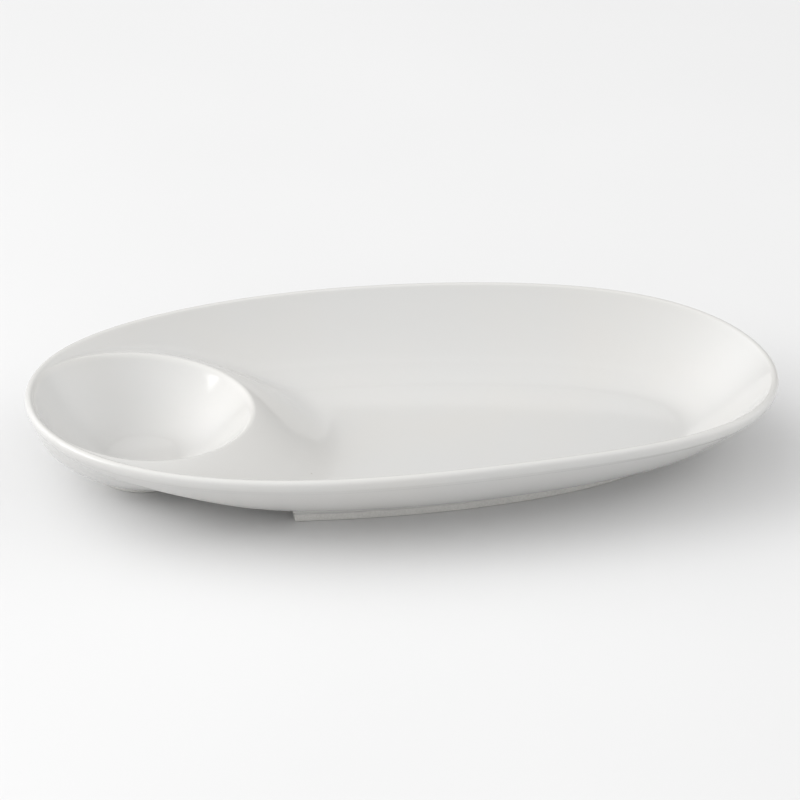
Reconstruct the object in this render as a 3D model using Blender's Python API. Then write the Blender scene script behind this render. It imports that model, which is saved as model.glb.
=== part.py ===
"""Oval chip and dip server in white glazed porcelain, one rigid casting.

The casting is modelled as its four formed features: the long chip well, the
round dip bowl at its left end, and the foot ring that each of them stands on.
Units are metres, +Z is up, and the table is the plane z = 0.  The server is
long in X, and it is the same on both sides of the XZ plane.
"""

import math

import bmesh
import bpy
import numpy as np

MM = 0.001

# Overall form: the rim line runs along the middle of the rounded lip.
HALF_LENGTH = 183.0 * MM
HALF_WIDTH = 97.8 * MM
RIM_SHAPE = (-0.074, 0.152, 0.168, 0.025, -0.102)   # widening of the oval, in powers of cos(t)
RIM_HEIGHT = 43.0 * MM
RIM_SWEEP = (0.0, -1.5 * MM, -1.5 * MM)             # rise and fall of the rim, in cos(t), cos(2t), cos(3t)
LIP_RADIUS = 2.1 * MM
LIP_INNER = math.radians(40)     # the inner face of the wall leaves the lip this far above its middle
LIP_OUTER = math.radians(37)     # and the outer face this far below it

# Chip well
WALL = 4.2 * MM                  # thickness of the porcelain
WELL_UNDER = 6.0 * MM            # height of the floor's underside
FLOOR_TOP = WELL_UNDER + 5.0 * MM
INNER_RUN = 42.0 * MM            # from the lip to where the wall meets the floor
INNER_POWER = 1.6
OUTER_RUN = 44.0 * MM            # the same on the outside
OUTER_RUN_RIGHT = 70.0 * MM      # and at the right end
OUTER_POWER = 1.6
BLEND = 9.0 * MM                 # radius-like size of the hollow between the rim wall and the bowl's flank

# Dip bowl
BOWL_RADIUS = 54.2 * MM          # to the crest of its rim
BOWL_X = BOWL_RADIUS - HALF_LENGTH - 0.2 * MM   # its circle just reaches the line of the outer lip
CREST_LEFT = RIM_HEIGHT + 1.2 * MM              # the crest falls from the outer lip towards the well
CREST_SIDE = RIM_HEIGHT - 5.9 * MM
CREST_RIGHT = RIM_HEIGHT - 9.9 * MM
CREST_LEDGE = 2.0 * MM           # least distance between the crest and the outer lip
BOWL_UNDER = 4.4 * MM
BOWL_FLOOR = BOWL_UNDER + 4.8 * MM
BOWL_FLAT = 0.33                 # flat part of the bowl's floor, as a share of its radius
BOWL_POWER = 1.7
BOWL_OUT_RADIUS = BOWL_RADIUS + 2.3 * MM        # the bowl's outside is a little slacker than a quarter of an ellipse
BOWL_OUT_DEPTH = RIM_HEIGHT - 0.5 * MM
BOWL_OUT_POWER = 0.55
FLANK_RUN = 44.0 * MM            # from the crest down to the floor of the chip well
FLANK_START = 0.5                # steepness of the flank next to the crest
MIN_WALL = 0.9                   # least and greatest wall, as multiples of WALL
MAX_WALL = 1.8

# Foot rings
GAP = 0.3 * MM                   # clearance between neighbouring solids
FOOT_X = -32.0 * MM
FOOT_HALF_LENGTH = HALF_LENGTH - 17.0 * MM
FOOT_HALF_WIDTH = HALF_WIDTH - 40.0 * MM
FOOT_CLIP_RADIUS = BOWL_RADIUS + 35.3 * MM      # the ring's left end is an arc about the bowl
FOOT_CORNER = 4.0 * MM
FOOT_HUB_X = 20.0 * MM           # the ring's outline is drawn in polar form about this point
FOOT_WIDTH = 4.6 * MM
FOOT_FLARE = 1.0 * MM
BOWL_FOOT_RADIUS = 22.3 * MM
BOWL_FOOT_WIDTH = 4.0 * MM
FOOT_EDGE = 0.9 * MM

SPLIT = 0.6 * MM                 # the bowl and the platter part upright, this far outside the bowl's crest

# Facets
N_AROUND = 96
N_RIM = 1440
N_FOOT = 84
N_BOWL_FOOT = 48
BOWL_RINGS = (0.18, BOWL_FLAT, 0.44, 0.55, 0.65, 0.74, 0.82, 0.89, 0.95, 1.0)
WELL_RINGS = (0.0, 0.035, 0.075, 0.12, 0.19, 0.28, 0.38, 0.5, 0.62, 0.72, 0.80, 0.87, 0.93, 0.97, 1.0)
LIP_STEPS = 7
OUTER_STEPS = (0.0, 0.04, 0.16, 0.36, 0.64)


def smooth_max(a, b, size):
    """Larger of two heights, with the corner between them filled by size."""
    size = np.maximum(size, 1e-9)
    share = np.maximum(size - np.abs(a - b), 0.0) / size
    return np.maximum(a, b) + share * share * size / 4


def smooth_min(a, b, size):
    return -smooth_max(-a, -b, size)


def rim_xy(t):
    c = np.cos(t)
    swell = 1 + sum(k * c ** (i + 1) for i, k in enumerate(RIM_SHAPE))
    return HALF_LENGTH * c, HALF_WIDTH * np.sin(t) * swell


def rim_z(t):
    return RIM_HEIGHT + sum(k * np.cos((i + 1) * t) for i, k in enumerate(RIM_SWEEP))


def edge_z(t):
    """Height at which the inner face of the wall meets the lip."""
    return rim_z(t) + LIP_RADIUS * math.sin(LIP_INNER)


def rim_normal(t):
    """Unit vector into the dish, in plan."""
    step = 1e-4
    x0, y0 = rim_xy(t - step)
    x1, y1 = rim_xy(t + step)
    length = np.hypot(x1 - x0, y1 - y0)
    return -(y1 - y0) / length, (x1 - x0) / length


def even_turns(count):
    """Values of t that share out the rim and the bowl's crest evenly, starting at the right end."""
    t = np.linspace(0.0, 2 * math.pi, 4 * N_RIM + 1)
    x, y = rim_xy(t)
    turn = np.unwrap(np.arctan2(y, x - BOWL_X))
    step = np.hypot(np.diff(x), np.diff(y)) + BOWL_RADIUS * np.diff(turn)
    run = np.concatenate(([0.0], np.cumsum(step)))
    return np.interp(np.arange(count) * run[-1] / count, run, t)


RIM_T = np.linspace(0.0, 2 * math.pi, N_RIM, endpoint=False)
RIM_X, RIM_Y = rim_xy(RIM_T)


def inset(x, y):
    """Distance from the rim line, and t at the rim line's nearest point."""
    gap = np.hypot(x[:, None] - RIM_X[None, :], y[:, None] - RIM_Y[None, :])
    return gap.min(axis=1), RIM_T[gap.argmin(axis=1)]


def crest_z(turn):
    swing = (CREST_RIGHT - CREST_LEFT) / 2
    middle = (CREST_RIGHT + CREST_LEFT) / 2
    second = (middle - CREST_SIDE) / 2
    return (middle + CREST_SIDE) / 2 + swing * np.cos(turn) + second * np.cos(2 * turn)


def rim_wall(u, edge):
    """Inner face of the oval's wall, u inside the rim line."""
    q = np.clip((u - LIP_RADIUS * math.cos(LIP_INNER)) / INNER_RUN, 0.0, 1.0)
    return FLOOR_TOP + (edge - FLOOR_TOP) * (1 - q) ** INNER_POWER


def flank(reach, turn):
    """The slope that falls from the bowl's crest to the floor of the well."""
    q = np.clip((reach - BOWL_RADIUS) / FLANK_RUN, 0.0, 1.0)
    fall = 1 - FLANK_START * q + (2 * FLANK_START - 3) * q ** 2 + (2 - FLANK_START) * q ** 3
    return FLOOR_TOP + (crest_z(turn) - FLOOR_TOP) * fall


def well_top(x, y):
    u, t = inset(x, y)
    edge = edge_z(t)
    reach = np.hypot(x - BOWL_X, y)
    turn = np.arctan2(y, x - BOWL_X)
    wall = rim_wall(u, edge)
    slope = flank(reach, turn)
    upper = np.maximum(wall, slope)
    blend = np.minimum(np.minimum(BLEND, 0.7 * (edge - upper)), 1.5 * (upper - FLOOR_TOP))
    return smooth_max(wall, slope, blend)


def bowl_top(share, crest):
    """Inside of the bowl, at a share of the way from its axis to its crest."""
    q = np.clip((share - BOWL_FLAT) / (1 - BOWL_FLAT), 0.0, 1.0)
    return BOWL_FLOOR + (crest - BOWL_FLOOR) * q ** BOWL_POWER


def hull(x, y, outside=None):
    """Outside of the casting above its feet."""
    u, t = inset(x, y)
    if outside is not None:
        u = outside
    rim = rim_z(t)
    run = OUTER_RUN + (OUTER_RUN_RIGHT - OUTER_RUN) * np.maximum(np.cos(t), 0.0) ** 2
    q = np.clip((u + LIP_RADIUS * math.cos(LIP_OUTER)) / run, 0.0, 1.0)
    oval = WELL_UNDER + (rim - LIP_RADIUS * math.sin(LIP_OUTER) - WELL_UNDER) * (1 - q) ** OUTER_POWER
    reach = np.minimum(np.hypot(x - BOWL_X, y), BOWL_OUT_RADIUS)
    round_out = RIM_HEIGHT - BOWL_OUT_DEPTH * (1 - (reach / BOWL_OUT_RADIUS) ** 2) ** BOWL_OUT_POWER
    size = np.minimum(6 * MM, 0.4 * (rim - np.minimum(oval, round_out)))
    return np.maximum(smooth_min(oval, round_out, size), BOWL_UNDER)


class Plan:
    """Points in plan along the spokes that run from the bowl's axis to the rim."""

    def __init__(self, count):
        self.t = even_turns(count)
        self.rim_x, self.rim_y = rim_xy(self.t)
        self.nx, self.ny = rim_normal(self.t)
        self.lip_x, self.lip_y = self.rim(LIP_RADIUS * math.cos(LIP_INNER))
        self.turn = np.arctan2(self.lip_y, self.lip_x - BOWL_X)
        room = np.hypot(self.lip_x - BOWL_X, self.lip_y) - CREST_LEDGE
        self.crest = smooth_min(np.full(count, BOWL_RADIUS), room, 2 * MM)

    def beyond(self, step):
        """Points a step outside the bowl's crest, or inside it when the step is negative."""
        reach = self.crest + step
        return BOWL_X + reach * np.cos(self.turn), reach * np.sin(self.turn)

    def well(self, share):
        """Points a share of the way from the platter's inner edge to its lip."""
        x, y = self.beyond(SPLIT + GAP)
        return x + share * (self.lip_x - x), y + share * (self.lip_y - y)

    def rim(self, u):
        return self.rim_x + u * self.nx, self.rim_y + u * self.ny


def under_z(x, y, top, steep):
    """Underside: the hull, kept within sensible walls below the top surface."""
    thick = WALL * np.sqrt(1 + steep ** 2)
    low = top - MAX_WALL * thick
    high = top - MIN_WALL * thick
    return smooth_min(smooth_max(hull(x, y), low, 3 * MM), high, 2 * MM)


def steepness(heights, reaches):
    """Slope of the top surface along each spoke."""
    rise = np.gradient(heights, axis=0)
    run = np.maximum(np.gradient(reaches, axis=0), 1e-6)
    return np.minimum(np.abs(rise / run), 1.4)


def under_rings(flat, tops):
    """Rings of the underside, from the outermost of the flat points inwards."""
    reaches = np.array([np.hypot(x - BOWL_X, y) for x, y in flat])
    steep = steepness(np.array(tops), reaches)
    rings = [np.column_stack((x, y, under_z(x, y, z, slope)))
             for (x, y), z, slope in zip(flat, tops, steep)]
    return rings[::-1]


def bowl_rings(plan):
    """Rings of the dip bowl: up its inside, over its crest, and back below."""
    flat = [plan.beyond((share - 1) * plan.crest) for share in BOWL_RINGS]
    tops = [bowl_top(share, crest_z(plan.turn)) for share in BOWL_RINGS]
    edge = plan.beyond(SPLIT)
    flat.append(edge)
    tops.append(well_top(*edge))
    rings = [np.column_stack((x, y, z)) for (x, y), z in zip(flat, tops)]
    return rings + under_rings(flat, tops)


def platter_rings(plan):
    """Rings of the platter: over the well and the lip, and back below to the bowl."""
    flat = [plan.well(share) for share in WELL_RINGS]
    tops = [well_top(x, y) for x, y in flat]
    rings = [np.column_stack((x, y, z)) for (x, y), z in zip(flat, tops)]
    rim = rim_z(plan.t)
    for angle in np.linspace(LIP_INNER, math.pi + LIP_OUTER, LIP_STEPS + 1)[1:-1]:
        x, y = plan.rim(LIP_RADIUS * math.cos(angle))
        rings.append(np.column_stack((x, y, rim + LIP_RADIUS * math.sin(angle))))
    for step in OUTER_STEPS:
        u = LIP_RADIUS * (2 * step - math.cos(LIP_OUTER))
        x, y = plan.rim(u)
        rings.append(np.column_stack((x, y, hull(x, y, u))))
    return rings + under_rings(flat, tops)


def add_object(name, mesh_data):
    mesh = bpy.data.meshes.new(name)
    mesh_data.to_mesh(mesh)
    mesh_data.free()
    obj = bpy.data.objects.new(name, mesh)
    bpy.context.scene.collection.objects.link(obj)
    return obj


def loft(name, rings, first=None, last=None):
    """Skin a list of closed rings; first and last are optional pole points."""
    bm = bmesh.new()
    rows = [[bm.verts.new(p) for p in ring] for ring in rings]
    count = len(rows[0])
    for low, high in zip(rows, rows[1:]):
        for i in range(count):
            j = (i + 1) % count
            bm.faces.new((low[i], low[j], high[j], high[i]))
    if first is None:
        for i in range(count):
            j = (i + 1) % count
            bm.faces.new((rows[-1][i], rows[-1][j], rows[0][j], rows[0][i]))
    else:
        start = bm.verts.new(first)
        end = bm.verts.new(last)
        for i in range(count):
            j = (i + 1) % count
            bm.faces.new((start, rows[0][j], rows[0][i]))
            bm.faces.new((end, rows[-1][i], rows[-1][j]))
    bmesh.ops.recalc_face_normals(bm, faces=bm.faces)
    return add_object(name, bm)


def material(name, colour, roughness, coat):
    mat = bpy.data.materials.new(name)
    mat.use_nodes = True
    shader = mat.node_tree.nodes["Principled BSDF"]
    shader.inputs["Base Color"].default_value = (*colour, 1.0)
    shader.inputs["Roughness"].default_value = roughness
    shader.inputs["Metallic"].default_value = 0.0
    shader.inputs["Coat Weight"].default_value = coat
    return mat


def finish(obj, mat):
    obj.data.materials.clear()
    obj.data.materials.append(mat)
    obj.data.shade_smooth()
    obj.data.set_sharp_from_angle(angle=math.radians(50))


def make_platter(mat):
    finish(loft("platter", platter_rings(Plan(N_AROUND))), mat)


def make_dip_bowl(mat):
    rings = bowl_rings(Plan(N_AROUND))
    finish(loft("dip_bowl", rings, first=(BOWL_X, 0.0, BOWL_FLOOR), last=(BOWL_X, 0.0, BOWL_UNDER)), mat)


def foot_outline():
    """Polar outline of the platter's foot: an ellipse less a disc about the bowl."""
    turn = np.arange(N_FOOT) * 2 * math.pi / N_FOOT
    c, s = np.cos(turn), np.sin(turn)
    # Ray from the hub to the ellipse
    a = (c / FOOT_HALF_LENGTH) ** 2 + (s / FOOT_HALF_WIDTH) ** 2
    b = (FOOT_HUB_X - FOOT_X) * c / FOOT_HALF_LENGTH ** 2
    k = ((FOOT_HUB_X - FOOT_X) / FOOT_HALF_LENGTH) ** 2 - 1
    oval = (-b + np.sqrt(b * b - a * k)) / a
    # Ray from the hub to the disc about the bowl, where it meets the disc
    away = FOOT_HUB_X - BOWL_X
    under = FOOT_CLIP_RADIUS ** 2 - (away * s) ** 2
    clip = np.where((c < 0) & (under > 0), -away * c - np.sqrt(np.maximum(under, 0.0)), 10 * HALF_LENGTH)
    reach = smooth_min(oval, clip, FOOT_CORNER)
    return FOOT_HUB_X + reach * c, reach * s


def offset_outline(x, y, distance):
    """Closed outline moved outwards by distance."""
    dx = np.roll(x, -1) - np.roll(x, 1)
    dy = np.roll(y, -1) - np.roll(y, 1)
    length = np.hypot(dx, dy)
    return x + distance * dy / length, y - distance * dx / length


def ring_section(width, height, flare):
    """Section of a foot ring: (outward offset, height), starting at its foot."""
    return ((-FOOT_EDGE, 0.0), (0.0, FOOT_EDGE), (flare, height),
            (-width - flare, height), (-width, FOOT_EDGE), (-width + FOOT_EDGE, 0.0))


def make_platter_foot(mat):
    x, y = foot_outline()
    height = WELL_UNDER - GAP
    rings = []
    for out, z in ring_section(FOOT_WIDTH, height, FOOT_FLARE):
        ox, oy = offset_outline(x, y, out)
        rings.append(np.column_stack((ox, oy, np.full(x.shape, z))))
    finish(loft("platter_foot_ring", rings), mat)


def make_bowl_foot(mat):
    turn = np.arange(N_BOWL_FOOT) * 2 * math.pi / N_BOWL_FOOT
    height = BOWL_UNDER - GAP
    rings = []
    for out, z in ring_section(BOWL_FOOT_WIDTH, height, 0.0):
        reach = BOWL_FOOT_RADIUS + out
        rings.append(np.column_stack((BOWL_X + reach * np.cos(turn), reach * np.sin(turn),
                                      np.full(turn.shape, z))))
    finish(loft("dip_bowl_foot_ring", rings), mat)


def clear_scene():
    for obj in list(bpy.data.objects):
        bpy.data.objects.remove(obj, do_unlink=True)


def main():
    clear_scene()
    glaze = (0.80, 0.80, 0.785)
    bare = (0.77, 0.76, 0.73)
    make_platter(material("platter_glaze", glaze, 0.18, 0.5))
    make_dip_bowl(material("dip_bowl_glaze", glaze, 0.18, 0.5))
    make_platter_foot(material("platter_foot_clay", bare, 0.75, 0.0))
    make_bowl_foot(material("dip_bowl_foot_clay", bare, 0.75, 0.0))


main()
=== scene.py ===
"""Looks of the oval chip and dip server: a white glazed porcelain casting on two foot rings.

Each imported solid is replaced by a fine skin. The formulas follow the design's own, so every skin lies
where its solid does, and the skins of the platter and the bowl meet without a step. The skins add what
the solids leave out: a lip that rolls under, a rounded crest, and fillets and soft edges on the feet.
Units are metres, +Z is up, and the table is the plane z = 0.
"""

import math

import bpy
import numpy as np
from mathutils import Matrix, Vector


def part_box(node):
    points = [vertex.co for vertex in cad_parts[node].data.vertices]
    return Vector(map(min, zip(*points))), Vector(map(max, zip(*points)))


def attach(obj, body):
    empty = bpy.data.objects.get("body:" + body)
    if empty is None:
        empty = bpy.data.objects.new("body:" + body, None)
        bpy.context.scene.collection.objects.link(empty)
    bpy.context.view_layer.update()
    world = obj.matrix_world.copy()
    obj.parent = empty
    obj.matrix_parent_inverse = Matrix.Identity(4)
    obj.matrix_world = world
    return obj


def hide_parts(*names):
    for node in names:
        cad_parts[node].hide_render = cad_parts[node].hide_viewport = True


MM = 0.001

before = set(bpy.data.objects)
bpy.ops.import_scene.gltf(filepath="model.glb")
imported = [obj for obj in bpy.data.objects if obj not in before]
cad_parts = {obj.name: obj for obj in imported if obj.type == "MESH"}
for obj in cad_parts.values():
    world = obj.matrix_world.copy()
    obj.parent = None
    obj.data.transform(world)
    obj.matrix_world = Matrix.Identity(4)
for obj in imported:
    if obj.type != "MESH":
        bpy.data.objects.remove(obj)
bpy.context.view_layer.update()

# The oval rim line, which runs along the middle of the rounded lip
HALF_LENGTH = 183.0 * MM
HALF_WIDTH = 97.8 * MM
RIM_SHAPE = (-0.074, 0.152, 0.168, 0.025, -0.102)   # widening of the oval, in powers of cos(t)
RIM_HEIGHT = 43.0 * MM
RIM_SWEEP = (0.0, -1.5 * MM, -1.5 * MM)             # rise and fall, in cos(t), cos(2t), cos(3t)
LIP_RADIUS = 2.1 * MM
LIP_INNER = math.radians(40)     # the lip's arc starts this far round from its outward side
ROLL_RADIUS = 6.0 * MM           # its outer face turns under on a larger arc
LIP_OUTER = math.radians(39.7)   # through this angle
ROLL_EDGE = ROLL_RADIUS * (1 - math.cos(LIP_OUTER)) - LIP_RADIUS   # how far inside the rim line it ends

# Chip well
WALL = 4.2 * MM
MIN_WALL = 0.9                   # least and greatest wall, as multiples of WALL
MAX_WALL = 1.8
MIN_WALL_SOFTNESS = 4.0 * MM     # over which each limit takes hold
MAX_WALL_SOFTNESS = 5.0 * MM
MAX_STEEP = 1.4                  # steepness beyond which the wall isn't measured any thicker
FLOOR_TOP = 11.0 * MM
WELL_UNDER = 6.0 * MM
INNER_RUN = 42.0 * MM            # from the lip to where the wall meets the floor
INNER_POWER = 1.6
OUTER_RUN = 44.0 * MM            # the same on the outside
OUTER_RUN_RIGHT = 70.0 * MM      # and at the right end
OUTER_POWER = 1.6
BLEND = 9.0 * MM                 # hollow between the rim wall and the bowl's flank

# Dip bowl
foot_low, foot_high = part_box("dip_bowl_foot_ring")
BOWL_X = (foot_low.x + foot_high.x) / 2
BOWL_RADIUS = 54.2 * MM          # to the crest of its rim
CREST_LEFT = 44.2 * MM           # the crest falls from the outer lip towards the well
CREST_SIDE = 37.1 * MM
CREST_RIGHT = 33.1 * MM
CREST_LEDGE = 0.5 * MM           # least distance between the crest and the outer lip
CREST_ROUND = 2.6 * MM           # rounding of the crest
CREST_FADE = 12.0 * MM           # nearer than this to the lip, the crest is rounded less
CREST_CLOSE = 22.0 * MM          # nearer than this, the underside gives way to the plain hull
BOWL_UNDER = 4.4 * MM
BOWL_FLOOR = 9.2 * MM
BOWL_FLAT = 0.33                 # flat part of the bowl's floor, as a share of its radius
BOWL_POWER = 1.7
BOWL_OUT_RADIUS = 56.5 * MM
BOWL_OUT_DEPTH = 42.5 * MM
BOWL_OUT_POWER = 0.55
OUTSIDE_BLEND = 6.0 * MM         # soft corner between the oval's outside and the bowl's
FLANK_RUN = 44.0 * MM            # from the crest down to the floor of the chip well
FLANK_START = 0.5                # steepness of the flank next to the crest
SPLIT = 0.75 * MM                # the two skins meet this far outside the bowl's crest

# Foot rings
FOOT_X = -32.0 * MM
FOOT_HALF_LENGTH = 166.0 * MM
FOOT_HALF_WIDTH = 57.8 * MM
FOOT_CLIP_RADIUS = 89.5 * MM     # the ring's left end is an arc about the bowl
FOOT_CORNER = 4.0 * MM
FOOT_HUB_X = 20.0 * MM           # the ring's outline is drawn in polar form about this point
FOOT_WIDTH = 4.6 * MM
FOOT_FLARE = 1.0 * MM
BOWL_FOOT_RADIUS = (foot_high.x - foot_low.x) / 2
BOWL_FOOT_WIDTH = 4.0 * MM
FOOT_ARC_STEPS = 8               # facets of each rounded part of a foot ring's section
FOOT_EDGE = 0.9 * MM             # rounding of the edge that stands on the table
FOOT_COVE = 1.5 * MM             # fillet where a foot ring grows out of the body
FOOT_SINK = 1.0 * MM             # how far a foot ring reaches into the body above it

# Fineness of the skins
N_AROUND = 480
N_FOOT = 480
BOWL_STEPS = 46
CREST_BAND = 4.0 * MM            # closer rings on each side of the crest
CREST_STEPS = 10
WELL_STEPS = 70
LIP_STEPS = 16
ROLL_STEPS = 12
OUTER_BAND = 1.9 * MM            # closer rings below the roll
OUTER_STEPS = 14
STEEP_SMOOTHING = 40             # passes that even out the steepness from which the wall is measured

# Where the glaze draws thin, with a painted highlight: the tops of the lip and of the crest are painted
# lighter
LIP_WEAR_AND_HIGHLIGHT = 1.6 * MM
CREST_WEAR_AND_HIGHLIGHT = 1.4 * MM
CREST_WEAR_AND_HIGHLIGHT_HEIGHT = 2.5 * MM


# --- Form ---------------------------------------------------------------------------------------

def smooth_max(a, b, size):
    """Larger of two heights, with the corner between them filled by size."""
    size = np.maximum(size, 1e-9)
    share = np.maximum(size - np.abs(a - b), 0.0) / size
    return np.maximum(a, b) + share * share * size / 4


def smooth_min(a, b, size):
    return -smooth_max(-a, -b, size)


def rim_xy(t):
    c = np.cos(t)
    swell = 1 + sum(k * c ** (i + 1) for i, k in enumerate(RIM_SHAPE))
    return HALF_LENGTH * c, HALF_WIDTH * np.sin(t) * swell


def rim_z(t):
    return RIM_HEIGHT + sum(k * np.cos((i + 1) * t) for i, k in enumerate(RIM_SWEEP))


def edge_z(t):
    """Height at which the inner face of the wall meets the lip."""
    return rim_z(t) + LIP_RADIUS * math.sin(LIP_INNER)


def rim_slope(t):
    """First and second derivatives of the rim line by t, as complex numbers in plan."""
    step = 1e-3
    before, at, after = (x + 1j * y for x, y in (rim_xy(t - step), rim_xy(t), rim_xy(t + step)))
    return (after - before) / (2 * step), (after - 2 * at + before) / step ** 2


RIM_T = np.linspace(0.0, 2 * math.pi, 720, endpoint=False)
RIM_X, RIM_Y = rim_xy(RIM_T)


def inset(x, y):
    """Distance from the rim line, and t at the rim line's nearest point."""
    gap = np.hypot(x[:, None] - RIM_X[None, :], y[:, None] - RIM_Y[None, :])
    t = RIM_T[gap.argmin(axis=1)]
    point = x + 1j * y
    for _ in range(4):
        rx, ry = rim_xy(t)
        away = rx + 1j * ry - point
        first, second = rim_slope(t)
        pull = (away * first.conj()).real
        bend = np.maximum((first * first.conj() + away * second.conj()).real, 1e-4)
        t = t - np.clip(pull / bend, -0.01, 0.01)
    rx, ry = rim_xy(t)
    return np.hypot(x - rx, y - ry), t


def crest_z(turn):
    swing = (CREST_RIGHT - CREST_LEFT) / 2
    middle = (CREST_RIGHT + CREST_LEFT) / 2
    second = (middle - CREST_SIDE) / 2
    return (middle + CREST_SIDE) / 2 + swing * np.cos(turn) + second * np.cos(2 * turn)


def rim_wall(u, edge):
    """Inner face of the oval's wall, u inside the rim line."""
    q = np.clip((u - LIP_RADIUS * math.cos(LIP_INNER)) / INNER_RUN, 0.0, 1.0)
    return FLOOR_TOP + (edge - FLOOR_TOP) * (1 - q) ** INNER_POWER


def flank(reach, turn):
    """The slope that falls from the bowl's crest to the floor of the well."""
    q = np.clip((reach - BOWL_RADIUS) / FLANK_RUN, 0.0, 1.0)
    fall = 1 - FLANK_START * q + (2 * FLANK_START - 3) * q ** 2 + (2 - FLANK_START) * q ** 3
    return FLOOR_TOP + (crest_z(turn) - FLOOR_TOP) * fall


def well_top(x, y):
    u, t = inset(x, y)
    edge = edge_z(t)
    reach = np.hypot(x - BOWL_X, y)
    turn = np.arctan2(y, x - BOWL_X)
    wall = rim_wall(u, edge)
    slope = flank(reach, turn)
    upper = np.maximum(wall, slope)
    blend = np.minimum(np.minimum(BLEND, 0.7 * (edge - upper)), 1.5 * (upper - FLOOR_TOP))
    return smooth_max(wall, slope, blend)


def bowl_top(share, crest):
    """Inside of the bowl, at a share of the way from its axis to its crest."""
    q = np.maximum((share - BOWL_FLAT) / (1 - BOWL_FLAT), 0.0)
    return BOWL_FLOOR + (crest - BOWL_FLOOR) * q ** BOWL_POWER


def hull(x, y, outside=None):
    """Outside of the casting above its feet."""
    u, t = inset(x, y)
    if outside is not None:
        u = outside
    rim = rim_z(t)
    run = OUTER_RUN + (OUTER_RUN_RIGHT - OUTER_RUN) * np.maximum(np.cos(t), 0.0) ** 2
    q = np.clip((u - ROLL_EDGE) / run, 0.0, 1.0)
    oval = WELL_UNDER + (rim - ROLL_RADIUS * math.sin(LIP_OUTER) - WELL_UNDER) * (1 - q) ** OUTER_POWER
    reach = np.hypot(x - BOWL_X, y)
    share = np.clip(reach / np.minimum(BOWL_OUT_RADIUS, reach + u - ROLL_EDGE), 0.0, 1.0)
    round_out = RIM_HEIGHT - BOWL_OUT_DEPTH * (1 - share ** 2) ** BOWL_OUT_POWER
    size = np.minimum(OUTSIDE_BLEND, 0.4 * (rim - np.minimum(oval, round_out)))
    return np.maximum(smooth_min(oval, round_out, size), BOWL_UNDER)


class Plan:
    """Points in plan along the spokes that run from the bowl's axis to the rim."""

    def __init__(self, count):
        t = np.linspace(0.0, 2 * math.pi, 8 * count + 1)
        x, y = rim_xy(t)
        turn = np.unwrap(np.arctan2(y, x - BOWL_X))
        step = np.hypot(np.diff(x), np.diff(y)) + BOWL_RADIUS * np.diff(turn)
        run = np.concatenate(([0.0], np.cumsum(step)))
        self.t = np.interp(np.arange(count) * run[-1] / count, run, t)
        self.rim_x, self.rim_y = rim_xy(self.t)
        slope = rim_slope(self.t)[0]
        self.nx, self.ny = -slope.imag / abs(slope), slope.real / abs(slope)
        lip_x, lip_y = self.rim(LIP_RADIUS * math.cos(LIP_INNER))
        self.turn = np.arctan2(lip_y, lip_x - BOWL_X)
        self.lip = np.hypot(lip_x - BOWL_X, lip_y)
        self.crest = smooth_min(np.full(count, BOWL_RADIUS), self.lip - CREST_LEDGE, 2 * MM)

    def rim(self, u):
        return self.rim_x + u * self.nx, self.rim_y + u * self.ny

    def at(self, reach):
        return BOWL_X + reach * np.cos(self.turn), reach * np.sin(self.turn)


def ring(x, y, z):
    return np.column_stack((x, y, z))


def spoke_reaches(plan):
    """Distances from the bowl's axis, one array for each ring, and the number of the ring at the split."""
    band = np.minimum(CREST_BAND, 0.45 * (plan.lip - plan.crest))
    inner = plan.crest - CREST_BAND
    reaches = [inner * s for s in np.linspace(0.0, 1.0, BOWL_STEPS + 1)[1:]]
    reaches += [inner + CREST_BAND * s for s in np.linspace(0.0, 1.0, CREST_STEPS + 1)[1:]]
    split = np.minimum(SPLIT, 0.45 * band)
    reaches += [plan.crest + split * s for s in (0.5, 1.0)]
    split_ring = len(reaches) - 1
    start = plan.crest + split
    reaches += [start + (band - split) * s for s in np.linspace(0.0, 1.0, CREST_STEPS + 1)[1:]]
    outer = plan.crest + band
    # Closer rings near the lip, where the wall is steep
    for s in np.linspace(0.0, 1.0, WELL_STEPS + 1)[1:]:
        reaches.append(outer + (plan.lip - outer) * (1.25 * s - 0.25 * s ** 5))
    return reaches, split_ring


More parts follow.
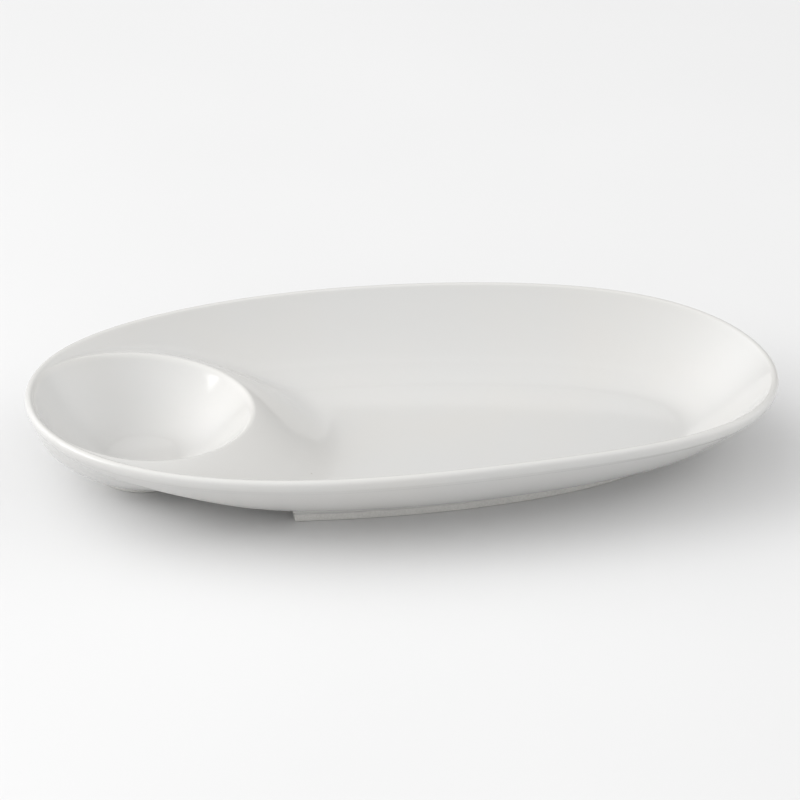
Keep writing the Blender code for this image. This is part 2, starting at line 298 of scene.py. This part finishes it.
def casting(plan):
    """All rings of the casting from the bowl's floor round to its underside, and the two split rings."""
    reaches, split_ring = spoke_reaches(plan)
    crest = crest_z(plan.turn)
    # The crest's rounding fades where the crest runs into the lip
    size = CREST_ROUND * np.clip((plan.lip - plan.crest) / CREST_FADE, 0.1, 1.0)
    tops = []
    for reach in reaches:
        x, y = plan.at(reach)
        tops.append(smooth_min(bowl_top(reach / plan.crest, crest), well_top(x, y), size))
    tops[-1] = edge_z(plan.t)
    tops = np.array(tops)
    rings = [ring(*plan.at(r), z) for r, z in zip(reaches, tops)]

    rim = rim_z(plan.t)
    for angle in np.linspace(LIP_INNER, math.pi, LIP_STEPS + 1)[1:]:
        rings.append(ring(*plan.rim(LIP_RADIUS * math.cos(angle)), rim + LIP_RADIUS * math.sin(angle)))
    for angle in np.linspace(0.0, LIP_OUTER, ROLL_STEPS + 1)[1:-1]:
        u = ROLL_RADIUS * (1 - math.cos(angle)) - LIP_RADIUS
        rings.append(ring(*plan.rim(u), rim - ROLL_RADIUS * math.sin(angle)))
    for step in np.linspace(0.0, 1.0, OUTER_STEPS + 1):
        u = OUTER_BAND * step ** 2 + ROLL_EDGE
        x, y = plan.rim(u)
        rings.append(ring(x, y, hull(x, y, u)))

    rise = np.gradient(tops, axis=0)
    run = np.maximum(np.gradient(np.array(reaches), axis=0), 1e-6)
    steep = np.minimum(np.abs(rise / run), MAX_STEEP)
    for _ in range(STEEP_SMOOTHING):
        steep[1:-1] = (steep[:-2] + 2 * steep[1:-1] + steep[2:]) / 4
    # Where the crest runs close to the lip, the underside is the hull alone
    close = np.clip(1 - (plan.lip - plan.crest) / CREST_CLOSE, 0.0, 1.0)
    close = close * close * (3 - 2 * close)
    under = []
    for reach, top, slope in zip(reaches, tops, steep):
        x, y = plan.at(reach)
        thick = WALL * np.sqrt(1 + slope ** 2)
        outside = hull(x, y)
        low = smooth_max(outside, top - MAX_WALL * thick, MAX_WALL_SOFTNESS)
        low = smooth_min(low, top - MIN_WALL * thick, MIN_WALL_SOFTNESS)
        under.append(ring(x, y, low + close * (outside - low)))
    under_split = len(rings) + len(under) - 1 - split_ring
    rings += under[::-1]
    return np.array(rings), split_ring, under_split


# --- Meshes -------------------------------------------------------------------------------------

def surface_normals(rings):
    """Normals of the surface through a stack of closed rings, pointing out of the casting."""
    around = np.roll(rings, -1, axis=1) - np.roll(rings, 1, axis=1)
    steps = np.diff(rings, axis=0)
    sizes = np.maximum(np.linalg.norm(steps, axis=2, keepdims=True), 1e-9)
    along = np.empty_like(rings)
    along[0] = steps[0]
    along[-1] = steps[-1]
    ratio = sizes[:-1] / sizes[1:]
    along[1:-1] = steps[1:] * ratio + steps[:-1] / ratio
    normals = np.cross(along, around)
    return normals / np.maximum(np.linalg.norm(normals, axis=2, keepdims=True), 1e-12)


def skin(name, points, quads, triangles, corner_normals, colour_parts):
    """Mesh object from points and faces; corner_normals has one row for each face corner."""
    mesh = bpy.data.meshes.new(name)
    mesh.from_pydata(points.tolist(), [], quads.tolist() + triangles.tolist())
    mesh.shade_smooth()
    if corner_normals is not None:
        mesh.normals_split_custom_set(corner_normals.tolist())
    for part, values in colour_parts.items():
        layer = mesh.attributes.new(part, 'FLOAT', 'POINT')
        layer.data.foreach_set("value", values.astype(np.float32))
    obj = bpy.data.objects.new(name, mesh)
    bpy.context.scene.collection.objects.link(obj)
    return obj


def stack_quads(rows, count):
    """Quads between neighbouring rings of a stack."""
    i = np.arange(rows - 1)[:, None] * count
    j = np.arange(count)[None, :]
    k = (j + 1) % count
    faces = np.stack((i + j, i + count + j, i + count + k, i + k), axis=-1)
    return faces.reshape(-1, 4)


def joint_normals(points, faces):
    """Flat normals for the corners of some faces."""
    a, b, c = (points[faces[:, n]] for n in (0, 1, 2))
    flat = np.cross(b - a, c - a)
    flat /= np.maximum(np.linalg.norm(flat, axis=1, keepdims=True), 1e-12)
    return np.repeat(flat, faces.shape[1], axis=0)


def make_castings():
    plan = Plan(N_AROUND)
    rings, top_split, under_split = casting(plan)
    normals = surface_normals(rings)
    # Painted highlight, partly thin glaze: a lighter band along the top of the lip and of the crest
    thin_and_highlight = edge_thin_glaze_and_highlight(rings, plan)

    # Platter: everything from the split on top, over the lip, to the split below
    part = slice(top_split, under_split + 1)
    points = rings[part].reshape(-1, 3)
    rows = under_split + 1 - top_split
    quads = stack_quads(rows, N_AROUND)
    j = np.arange(N_AROUND)
    k = (j + 1) % N_AROUND
    last = (rows - 1) * N_AROUND
    wall = np.column_stack((last + j, j, k, last + k))
    corners = np.concatenate((normals[part].reshape(-1, 3)[quads.ravel()], joint_normals(points, wall)))
    platter = skin("platter_skin", points, np.vstack((quads, wall)), np.empty((0, 3), int), corners,
                   {"thin_glaze_and_painted_highlight": thin_and_highlight[part].ravel()})

    # Bowl: the rest, with a point at each end of its axis
    low = rings[under_split:]
    high = rings[:top_split + 1]
    points = np.vstack((low.reshape(-1, 3), high.reshape(-1, 3),
                        [[BOWL_X, 0.0, low[-1, :, 2].mean()], [BOWL_X, 0.0, BOWL_FLOOR]]))
    low_quads = stack_quads(len(low), N_AROUND)
    high_start = len(low) * N_AROUND
    high_quads = stack_quads(len(high), N_AROUND) + high_start
    edge = high_start + (len(high) - 1) * N_AROUND
    wall = np.column_stack((edge + j, j, k, edge + k))
    low_end = (len(low) - 1) * N_AROUND
    low_pole, high_pole = len(points) - 2, len(points) - 1
    caps = np.vstack((np.column_stack((low_end + k, low_end + j, np.full(N_AROUND, low_pole))),
                      np.column_stack((high_start + j, high_start + k, np.full(N_AROUND, high_pole)))))
    vertex_normals = np.vstack((normals[under_split:].reshape(-1, 3), normals[:top_split + 1].reshape(-1, 3),
                                [[0.0, 0.0, -1.0], [0.0, 0.0, 1.0]]))
    surface = np.vstack((low_quads, high_quads))
    corners = np.concatenate((vertex_normals[surface.ravel()], joint_normals(points, wall),
                              vertex_normals[caps.ravel()]))
    bowl_thin_and_highlight = np.concatenate((thin_and_highlight[under_split:].ravel(), thin_and_highlight[:top_split + 1].ravel(), [0.0, 0.0]))
    bowl = skin("dip_bowl_skin", points, np.vstack((surface, wall)), caps, corners, {"thin_glaze_and_painted_highlight": bowl_thin_and_highlight})
    return platter, bowl


def edge_thin_glaze_and_highlight(rings, plan):
    """1 where the glaze draws thin and a highlight is painted, along the top of the lip and of the crest,
    fading to 0 beside them.
    """
    x, y, z = (rings[:, :, n] for n in range(3))
    from_rim = np.hypot(x - plan.rim_x, y - plan.rim_y)
    on_lip = np.exp(-((from_rim / LIP_WEAR_AND_HIGHLIGHT) ** 2)) * (z > rim_z(plan.t))
    reach = np.hypot(x - BOWL_X, y)
    near_crest = np.abs(z - crest_z(plan.turn)) < CREST_WEAR_AND_HIGHLIGHT_HEIGHT
    on_crest = np.exp(-(((reach - plan.crest) / CREST_WEAR_AND_HIGHLIGHT) ** 2)) * near_crest
    return np.maximum(on_lip, on_crest)


def foot_outline():
    """Polar outline of the platter's foot: an ellipse less a disc about the bowl."""
    turn = np.arange(N_FOOT) * 2 * math.pi / N_FOOT
    c, s = np.cos(turn), np.sin(turn)
    a = (c / FOOT_HALF_LENGTH) ** 2 + (s / FOOT_HALF_WIDTH) ** 2
    b = (FOOT_HUB_X - FOOT_X) * c / FOOT_HALF_LENGTH ** 2
    k = ((FOOT_HUB_X - FOOT_X) / FOOT_HALF_LENGTH) ** 2 - 1
    oval = (-b + np.sqrt(b * b - a * k)) / a
    away = FOOT_HUB_X - BOWL_X
    under = FOOT_CLIP_RADIUS ** 2 - (away * s) ** 2
    clip = np.where((c < 0) & (under > 0), -away * c - np.sqrt(np.maximum(under, 0.0)), 10 * HALF_LENGTH)
    reach = smooth_min(oval, clip, FOOT_CORNER)
    return FOOT_HUB_X + reach * c, reach * s


def foot_section(width, height, flare):
    """Section of a foot ring as (outward offset, height): rounded below, filleted above."""
    steps = FOOT_ARC_STEPS
    outer = []
    for i in range(steps + 1):
        angle = math.pi / 2 * i / steps
        outer.append((-FOOT_EDGE + FOOT_EDGE * math.sin(angle), FOOT_EDGE - FOOT_EDGE * math.cos(angle)))
    for i in range(1, steps + 1):
        z = FOOT_EDGE + (height - FOOT_COVE - FOOT_EDGE) * i / steps
        outer.append((flare * z / height, z))
    base = outer[-1][0]
    for i in range(1, steps + 1):
        angle = math.pi / 2 * i / steps
        out = base + FOOT_COVE * (1 - math.cos(angle))
        outer.append((out, height - FOOT_COVE + FOOT_COVE * math.sin(angle)))
    outer.append((outer[-1][0], height + FOOT_SINK))
    inner = [(-width - out, z) for out, z in reversed(outer)]
    return outer + inner


def make_foot(name, x, y, section):
    """Foot ring swept along a closed outline in plan."""
    dx = np.roll(x, -1) - np.roll(x, 1)
    dy = np.roll(y, -1) - np.roll(y, 1)
    length = np.hypot(dx, dy)
    rings = [ring(x + out * dy / length, y - out * dx / length, np.full(x.shape, z)) for out, z in section]
    count = len(x)
    quads = stack_quads(len(rings) + 1, count) % (len(rings) * count)
    obj = skin(name, np.vstack(rings), quads, np.empty((0, 3), int), None, {})
    obj.data.set_sharp_from_angle(angle=math.radians(60))
    return obj


def make_feet():
    x, y = foot_outline()
    platter_foot = make_foot("platter_foot_skin", x, y, foot_section(FOOT_WIDTH, WELL_UNDER, FOOT_FLARE))
    turn = np.arange(N_FOOT) * 2 * math.pi / N_FOOT
    x = BOWL_X + BOWL_FOOT_RADIUS * np.cos(turn)
    y = BOWL_FOOT_RADIUS * np.sin(turn)
    bowl_foot = make_foot("dip_bowl_foot_skin", x, y, foot_section(BOWL_FOOT_WIDTH, BOWL_UNDER, 0.0))
    return platter_foot, bowl_foot


# --- Materials ----------------------------------------------------------------------------------

class Shader:
    """Short calls for a material's nodes."""

    def __init__(self, name):
        self.material = bpy.data.materials.new(name)
        self.material.use_nodes = True
        self.tree = self.material.node_tree
        self.principled = self.tree.nodes["Principled BSDF"]

    def node(self, kind, **settings):
        made = self.tree.nodes.new(kind)
        for key, value in settings.items():
            setattr(made, key, value)
        return made

    def link(self, output, socket):
        self.tree.links.new(output, socket)

    def place(self):
        return self.node('ShaderNodeTexCoord').outputs["Object"]

    def noise(self, scale, detail=2.0, roughness=0.5):
        made = self.node('ShaderNodeTexNoise')
        made.inputs["Scale"].default_value = scale
        made.inputs["Detail"].default_value = detail
        made.inputs["Roughness"].default_value = roughness
        self.link(self.place(), made.inputs["Vector"])
        return made.outputs["Fac"]

    def cell_number(self, cells):
        """One random number for each cell of a Voronoi texture."""
        parts = self.node('ShaderNodeSeparateColor')
        self.link(cells.outputs["Color"], parts.inputs["Color"])
        return parts.outputs[0]

    def spread(self, value, low, high, to_low, to_high):
        made = self.node('ShaderNodeMapRange', clamp=True)
        for key, number in zip(("From Min", "From Max", "To Min", "To Max"), (low, high, to_low, to_high)):
            made.inputs[key].default_value = number
        self.link(value, made.inputs["Value"])
        return made.outputs["Result"]

    def mix(self, share, first, second):
        made = self.node('ShaderNodeMix', data_type='RGBA')
        self.link(share, made.inputs["Factor"])
        for socket, colour in ((made.inputs["A"], first), (made.inputs["B"], second)):
            if isinstance(colour, tuple):
                socket.default_value = (*colour, 1.0)
            else:
                self.link(colour, socket)
        return made.outputs["Result"]

    def math(self, operation, first, second):
        made = self.node('ShaderNodeMath', operation=operation)
        for socket, value in zip(made.inputs, (first, second)):
            if isinstance(value, (int, float)):
                socket.default_value = value
            else:
                self.link(value, socket)
        return made.outputs[0]

    def bump(self, height, distance, strength, below=None):
        made = self.node('ShaderNodeBump')
        made.inputs["Distance"].default_value = distance
        made.inputs["Strength"].default_value = strength
        self.link(height, made.inputs["Height"])
        if below is not None:
            self.link(below, made.inputs["Normal"])
        return made.outputs["Normal"]


GLAZE = (0.644, 0.636, 0.617)
GLAZE_COOL = (0.638, 0.636, 0.625)   # faint drift of the glaze's tint from place to place
BODY_AND_HIGHLIGHT = (0.690, 0.680, 0.655)         # the porcelain below, where the glaze is thin; it is lighter than the glaze, so on the lip and crest tops it is also a painted highlight
SPECK = (0.33, 0.29, 0.23)
PAINTED_LIGHT_CLAY = (0.84, 0.83, 0.80)            # bare porcelain on the feet, mottled with the body colour; painted lighter than the glaze to stand in for light falling on the foot walls
FLOOR = ((0.745, 0.745, 0.745), (0.765, 0.765, 0.765))
GLAZE_IOR = 1.5
GLAZE_LINE = (4.0 * MM, 4.6 * MM)    # heights on the feet between which the glaze starts; the lighter bare clay below them is partly painted light on the foot walls
GLAZE_LINE_WANDER = 0.3 * MM


def glaze_nodes(shader):
    """Colour, roughness and bump of the white glaze."""
    tint = shader.mix(shader.spread(shader.noise(14.0), 0.35, 0.65, 0.0, 1.0), GLAZE, GLAZE_COOL)
    # Painted highlight, partly thin glaze: the lip and crest tops are mixed towards the lighter body colour
    attribute = shader.node('ShaderNodeAttribute', attribute_name="thin_glaze_and_painted_highlight")
    thin_and_highlight = attribute.outputs["Fac"]
    tint = shader.mix(shader.math('MULTIPLY', thin_and_highlight, 0.55), tint, BODY_AND_HIGHLIGHT)

    # Iron specks: a few of the cells of a coarse lattice hold one dot each
    cells = shader.node('ShaderNodeTexVoronoi', feature='F1')
    cells.inputs["Scale"].default_value = 62.0
    cells.inputs["Randomness"].default_value = 1.0
    shader.link(shader.place(), cells.inputs["Vector"])
    chosen = shader.spread(shader.cell_number(cells), 0.955, 0.96, 0.0, 1.0)
    dot = shader.spread(cells.outputs["Distance"], 0.018, 0.030, 1.0, 0.0)
    speck = shader.math('MULTIPLY', chosen, dot)
    tint = shader.mix(shader.math('MULTIPLY', speck, 0.45), tint, SPECK)

    roughness = shader.spread(shader.noise(180.0, 3.0), 0.3, 0.7, 0.10, 0.15)
    roughness = shader.math('ADD', roughness, shader.math('MULTIPLY', thin_and_highlight, 0.05))
    wave = shader.bump(shader.noise(26.0, 1.0), 0.0006, 0.12)
    orange_peel = shader.bump(shader.noise(420.0, 2.0), 0.00005, 0.22, wave)
    return tint, roughness, orange_peel


def glaze_material(name):
    shader = Shader(name)
    tint, roughness, normal = glaze_nodes(shader)
    shader.link(tint, shader.principled.inputs["Base Color"])
    shader.link(roughness, shader.principled.inputs["Roughness"])
    shader.link(normal, shader.principled.inputs["Normal"])
    shader.principled.inputs["IOR"].default_value = GLAZE_IOR
    return shader.material


def foot_material(name):
    """Bare porcelain, painted lighter than the glaze to stand in for light on the foot walls, with the glaze
    running out just below the underside.
    """
    shader = Shader(name)
    tint, roughness, normal = glaze_nodes(shader)
    height = shader.node('ShaderNodeSeparateXYZ')
    shader.link(shader.place(), height.inputs[0])
    wander = shader.spread(shader.noise(90.0), 0.3, 0.7, -GLAZE_LINE_WANDER, GLAZE_LINE_WANDER)
    bare_and_painted_light = shader.spread(shader.math('ADD', height.outputs["Z"], wander), *GLAZE_LINE, 1.0, 0.0)
    grain = shader.noise(900.0, 6.0, 0.7)
    # Painted light: the bare foot walls take a clay colour lighter than the glaze, standing in for light
    # that falls on them
    painted_light_clay = shader.mix(shader.spread(grain, 0.3, 0.7, 0.0, 1.0), PAINTED_LIGHT_CLAY, BODY_AND_HIGHLIGHT)
    shader.link(shader.mix(bare_and_painted_light, tint, painted_light_clay), shader.principled.inputs["Base Color"])
    rough = shader.math('ADD', roughness, shader.math('MULTIPLY', bare_and_painted_light, 0.62))
    shader.link(rough, shader.principled.inputs["Roughness"])
    tooth = shader.math('MULTIPLY', grain, bare_and_painted_light)
    shader.link(shader.bump(tooth, 0.00025, 0.7, normal), shader.principled.inputs["Normal"])
    shader.principled.inputs["IOR"].default_value = GLAZE_IOR
    return shader.material


def floor_material():
    shader = Shader("studio_floor")
    shade = shader.mix(shader.spread(shader.noise(3.0), 0.3, 0.7, 0.0, 1.0), *FLOOR)
    shader.link(shade, shader.principled.inputs["Base Color"])
    shader.principled.inputs["Roughness"].default_value = 0.9
    shader.principled.inputs["Specular IOR Level"].default_value = 0.1
    return shader.material


# --- Studio -------------------------------------------------------------------------------------

CAMERA_AZIMUTH = math.radians(-6.09)
CAMERA_ELEVATION = math.radians(28.31)
CAMERA_DISTANCE = 1.6
CAMERA_LENS = 146.9               # mm, on a 36 mm sensor
AIM_RIGHT = -2.05 * MM            # the view's middle, from the point above the origin at rim height
AIM_UP = -9.43 * MM
FLOOR_RADIUS = 4.0
FLOOR_SIDES = 96
FLOOR_DROP = 0.1 * MM             # keeps the floor clear of the faces that stand on it

# name, azimuth, elevation, distance, width, height, power
LIGHTS = (
    ("key_box", -83.0, 28.0, 1.5, 0.72, 0.62, 6.4),
)

# Soft glow of the room: middle of each patch, how tightly it is gathered, and its strength
GLOWS = (
    ((0.0, 0.0, 1.0), 2.0, 0.60),
    ((-0.7, 0.0, 0.7), 4.0, 1.22),
    ((0.95, 0.0, 0.3), 4.0, 1.74),
    ((0.0, -0.9, 0.4), 4.0, 0.88),
    ((-0.75, 0.5, 0.45), 7.0, 1.54),
)


def direction(azimuth, elevation):
    """Unit vector towards an azimuth (0 is -Y, 90 degrees is +X) and an elevation."""
    return Vector((math.sin(azimuth) * math.cos(elevation), -math.cos(azimuth) * math.cos(elevation),
                   math.sin(elevation)))


def make_camera():
    back = direction(CAMERA_AZIMUTH, CAMERA_ELEVATION)
    right = Vector((math.cos(CAMERA_AZIMUTH), math.sin(CAMERA_AZIMUTH), 0.0))
    up = back.cross(right)
    middle = Vector((0.0, 0.0, RIM_HEIGHT))
    data = bpy.data.cameras.new("camera")
    data.lens = CAMERA_LENS
    data.sensor_width = 36.0
    data.clip_start = 0.05
    camera = bpy.data.objects.new("camera", data)
    camera.location = middle + CAMERA_DISTANCE * back
    aim = middle + AIM_RIGHT * right + AIM_UP * up
    camera.rotation_euler = (aim - camera.location).to_track_quat('-Z', 'Y').to_euler()
    bpy.context.scene.collection.objects.link(camera)
    bpy.context.scene.camera = camera


def area_light(name, azimuth, elevation, distance, width, height, power):
    """Soft box that faces the middle of the object."""
    data = bpy.data.lights.new(name, 'AREA')
    data.shape = 'RECTANGLE'
    data.size = width
    data.size_y = height
    data.energy = power
    light = bpy.data.objects.new(name, data)
    light.location = direction(math.radians(azimuth), math.radians(elevation)) * distance
    light.rotation_euler = (-light.location).to_track_quat('-Z', 'Y').to_euler()
    bpy.context.scene.collection.objects.link(light)


def make_floor():
    """Pale round table top, far larger than the object."""
    data = bpy.data.meshes.new("studio_floor")
    count, radius = FLOOR_SIDES, FLOOR_RADIUS
    turn = np.arange(count) * 2 * math.pi / count
    rings = [ring(radius * s * np.cos(turn), radius * s * np.sin(turn), np.full(count, z))
             for s, z in ((0.25, 0.0), (0.6, 0.0), (0.97, 0.0), (1.0, -0.02))]
    points = np.vstack(rings + [[[0.0, 0.0, 0.0]]])
    j = np.arange(count)
    middle = np.column_stack((j, (j + 1) % count, np.full(count, 4 * count)))
    data.from_pydata(points.tolist(), [], stack_quads(4, count).tolist() + middle.tolist())
    floor = bpy.data.objects.new("studio_floor", data)
    floor.location.z = -FLOOR_DROP
    floor.data.materials.append(floor_material())
    bpy.context.scene.collection.objects.link(floor)


def make_world():
    """White surroundings, brighter towards the middle of each glow."""
    world = bpy.data.worlds.new("studio")
    world.use_nodes = True
    tree = world.node_tree
    place = tree.nodes.new('ShaderNodeTexCoord').outputs["Generated"]

    def maths(operation, first, second):
        made = tree.nodes.new('ShaderNodeMath')
        made.operation = operation
        for socket, value in zip(made.inputs, (first, second)):
            if isinstance(value, float):
                socket.default_value = value
            else:
                tree.links.new(value, socket)
        return made.outputs[0]

    total = 0.0
    for middle, tightness, strength in GLOWS:
        facing = tree.nodes.new('ShaderNodeVectorMath')
        facing.operation = 'DOT_PRODUCT'
        facing.inputs[1].default_value = Vector(middle).normalized()
        tree.links.new(place, facing.inputs[0])
        share = maths('POWER', maths('MAXIMUM', facing.outputs["Value"], 0.0), tightness)
        total = maths('ADD', maths('MULTIPLY', share, strength), total)
    background = tree.nodes["Background"]
    background.inputs["Color"].default_value = (1.0, 1.0, 1.0, 1.0)
    tree.links.new(total, background.inputs["Strength"])
    bpy.context.scene.world = world


def make_studio():
    make_camera()
    make_floor()
    for light in LIGHTS:
        area_light(*light)
    make_world()
    bpy.context.scene.view_settings.view_transform = 'Standard'


# --- Object -------------------------------------------------------------------------------------

def add_piece(piece, material, node):
    piece.data.materials.append(material)
    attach(piece, "root")
    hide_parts(node)


def main():
    make_studio()
    platter, bowl = make_castings()
    platter_foot, bowl_foot = make_feet()
    add_piece(platter, glaze_material("platter_glaze"), "platter")
    add_piece(bowl, glaze_material("dip_bowl_glaze"), "dip_bowl")
    add_piece(platter_foot, foot_material("platter_foot_porcelain"), "platter_foot_ring")
    add_piece(bowl_foot, foot_material("dip_bowl_foot_porcelain"), "dip_bowl_foot_ring")


main()
